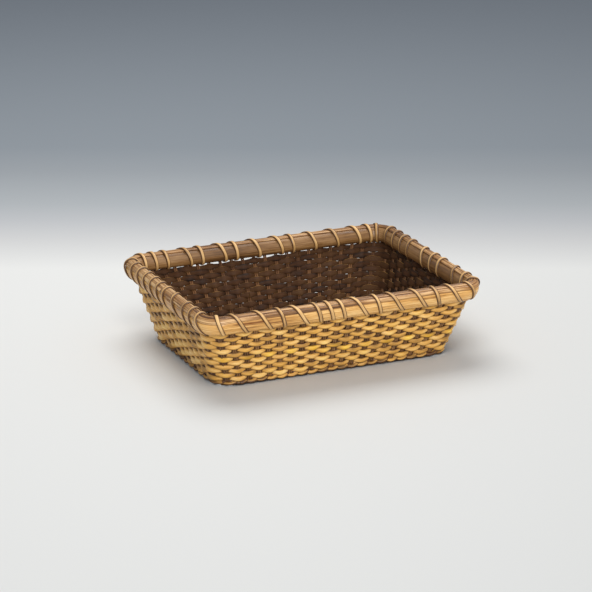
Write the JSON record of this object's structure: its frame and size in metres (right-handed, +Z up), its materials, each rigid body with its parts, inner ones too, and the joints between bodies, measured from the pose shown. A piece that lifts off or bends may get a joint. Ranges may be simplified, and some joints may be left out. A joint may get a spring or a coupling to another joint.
{
  "type": "rattan basket",
  "caption": "Shallow oblong rattan basket with flared plain-woven walls, a woven base and a half-round rim lashed with split cane, for bread, fruit or small goods.",
  "frame": {"origin": "middle of the base, on the surface that the basket stands on", "axes": "+X along the long side, +Y from the front wall to the back wall, +Z up out of the mouth"},
  "size_m": [0.3614, 0.2766, 0.0983],
  "materials": {
    "stake": "bare round cane, brown",
    "weaver": "split cane, golden tan, satin skin",
    "base_weaver": "split cane, tan, dull",
    "rim": "half-round rattan pole, golden, satin with a fine grain",
    "rim_filler": "thin half-round cane, brown",
    "lashing": "split cane, pale tan, satin skin"
  },
  "bodies": {
    "root": {"cross_stake_01": "stake", "cross_stake_02": "stake", "cross_stake_03": "stake", "cross_stake_04": "stake", "cross_stake_05": "stake", "cross_stake_06": "stake", "cross_stake_07": "stake", "cross_stake_08": "stake", "cross_stake_09": "stake", "cross_stake_10": "stake", "cross_stake_11": "stake", "cross_stake_12": "stake", "cross_stake_13": "stake", "cross_stake_14": "stake", "cross_stake_15": "stake", "cross_stake_16": "stake", "cross_stake_17": "stake", "cross_stake_18": "stake", "cross_stake_19": "stake", "cross_stake_20": "stake", "cross_stake_21": "stake", "cross_stake_22": "stake", "long_stake_01": "stake", "long_stake_02": "stake", "long_stake_03": "stake", "long_stake_04": "stake", "long_stake_05": "stake", "long_stake_06": "stake", "long_stake_07": "stake", "long_stake_08": "stake", "long_stake_09": "stake", "long_stake_10": "stake", "long_stake_11": "stake", "long_stake_12": "stake", "weaver_row_01": "weaver", "weaver_row_02": "weaver", "weaver_row_03": "weaver", "weaver_row_04": "weaver", "weaver_row_05": "weaver", "weaver_row_06": "weaver", "weaver_row_07": "weaver", "weaver_row_08": "weaver", "weaver_row_09": "weaver", "weaver_row_10": "weaver", "weaver_row_11": "weaver", "weaver_row_12": "weaver", "weaver_row_13": "weaver", "base_weaver": "base_weaver", "rim_outer_strip": "rim", "rim_inner_strip": "rim", "rim_top_filler": "rim_filler", "rim_lashing_front": "lashing", "rim_lashing_right": "lashing", "rim_lashing_back": "lashing", "rim_lashing_left": "lashing"}
  },
  "joints": []
}
